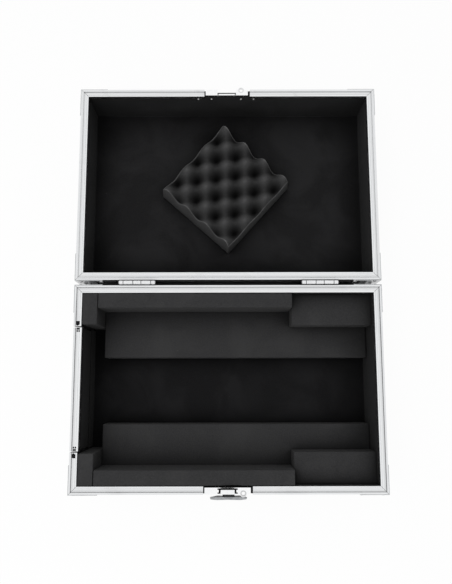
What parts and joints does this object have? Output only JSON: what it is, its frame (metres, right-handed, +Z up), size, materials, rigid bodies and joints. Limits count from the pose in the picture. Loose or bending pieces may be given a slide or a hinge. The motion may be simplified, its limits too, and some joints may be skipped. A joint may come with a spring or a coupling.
{
  "type": "dj flight case",
  "caption": "Hard case, lid turned right back: aluminium rims, foam blocks in a lined base, egg-crate foam in the lid, cable flap, turning latch and carrying handle.",
  "frame": {"origin": "bottom centre of the bounding box, with the lid turned right back", "axes": "+X to the right along the lid's hinges, +Y from the latch to the open lid, +Z up"},
  "size_m": [0.5325, 0.707, 0.1392],
  "materials": {
    "laminated_plywood": "smooth black laminate on plywood",
    "black_lining": "short black pile",
    "black_foam": "fine matt foam",
    "rim_aluminium": "satin anodised",
    "edge_aluminium": "satin anodised",
    "plated_steel": "bright zinc plate",
    "rivet_steel": "bright, slightly domed",
    "black_rubber": "matt"
  },
  "bodies": {
    "base": {"base_floor": "laminated_plywood", "base_front_wall": "laminated_plywood", "base_back_wall": "laminated_plywood", "base_right_wall": "laminated_plywood", "base_left_wall": "laminated_plywood", "base_lining": "black_lining", "foam_rear_left_corner": "black_foam", "foam_rear_lower": "black_foam", "foam_rear_long": "black_foam", "foam_rear_step": "black_foam", "foam_front_left_corner": "black_foam", "foam_front_lower": "black_foam", "foam_front_long": "black_foam", "foam_front_step": "black_foam", "base_rim_front": "rim_aluminium", "base_rim_back": "rim_aluminium", "base_rim_right": "rim_aluminium", "base_rim_left": "rim_aluminium", "base_edges_long": "edge_aluminium", "base_edges_short": "edge_aluminium", "base_corner_angles": "edge_aluminium", "base_ball_corners": "plated_steel", "base_corner_braces": "plated_steel", "hinge_base_leaves": "plated_steel", "hinge_pins": "plated_steel", "latch_dish": "plated_steel", "handle_plate": "plated_steel", "flap_hinge_base_leaf": "plated_steel", "flap_hinge_pin": "plated_steel", "base_rivets": "rivet_steel", "base_feet": "black_rubber"},
    "flap": {"flap_panel": "laminated_plywood", "flap_rim": "rim_aluminium", "flap_lining": "black_lining", "flap_hinge_leaf": "plated_steel"},
    "latch_wing_body": {"latch_wing": "plated_steel"},
    "latch_carriage_body": {"latch_carriage": "plated_steel"},
    "latch_hook_body": {"latch_hook": "plated_steel"},
    "handle": {"handle_bail": "plated_steel", "handle_grip": "black_rubber"},
    "lid": {"lid_top": "laminated_plywood", "lid_front_wall": "laminated_plywood", "lid_back_wall": "laminated_plywood", "lid_left_wall": "laminated_plywood", "lid_right_wall": "laminated_plywood", "lid_lining": "black_lining", "lid_rim_front": "rim_aluminium", "lid_rim_back": "rim_aluminium", "lid_rim_left": "rim_aluminium", "lid_rim_right": "rim_aluminium", "lid_edges_long": "edge_aluminium", "lid_edges_short": "edge_aluminium", "lid_corner_angles": "edge_aluminium", "lid_ball_corners": "plated_steel", "lid_corner_braces": "plated_steel", "lid_rivets": "rivet_steel", "hinge_lid_leaves": "plated_steel", "keeper_dish": "plated_steel", "keeper_plate": "plated_steel", "egg_crate_foam": "black_foam"}
  },
  "joints": [
    {"name": "lid_hinge", "type": "hinge", "parent": "base", "child": "lid", "pos_m": [-0.00375, 0.004, 0.12695], "axis": [1, 0, 0], "range_deg": [0, 180]},
    {"name": "flap_hinge", "type": "hinge", "parent": "base", "child": "flap", "pos_m": [-0.26295, -0.172, 0.0588], "axis": [0, -1, 0], "range_deg": [0, 110]},
    {"name": "handle_swing", "type": "hinge", "parent": "base", "child": "handle", "pos_m": [0.25975, -0.1705, 0.0768], "axis": [0, -1, 0], "range_deg": [0, 90]},
    {"name": "latch_turn", "type": "hinge", "parent": "base", "child": "latch_wing_body", "pos_m": [-0.00375, -0.3465, 0.0928], "axis": [0, -1, 0], "range_deg": [0, 180]},
    {"name": "carriage_slide", "type": "slide", "parent": "base", "child": "latch_carriage_body", "axis": [0, 0, -1], "range_m": [0, 0.006]},
    {"name": "hook_tilt", "type": "hinge", "parent": "latch_carriage_body", "child": "latch_hook_body", "pos_m": [-0.00375, -0.3373, 0.1108], "axis": [1, 0, 0], "range_deg": [0, 8]}
  ],
  "couplings": [
    {"joint": "latch_turn", "follows": "carriage_slide", "rad_per_m": 523.59}
  ]
}
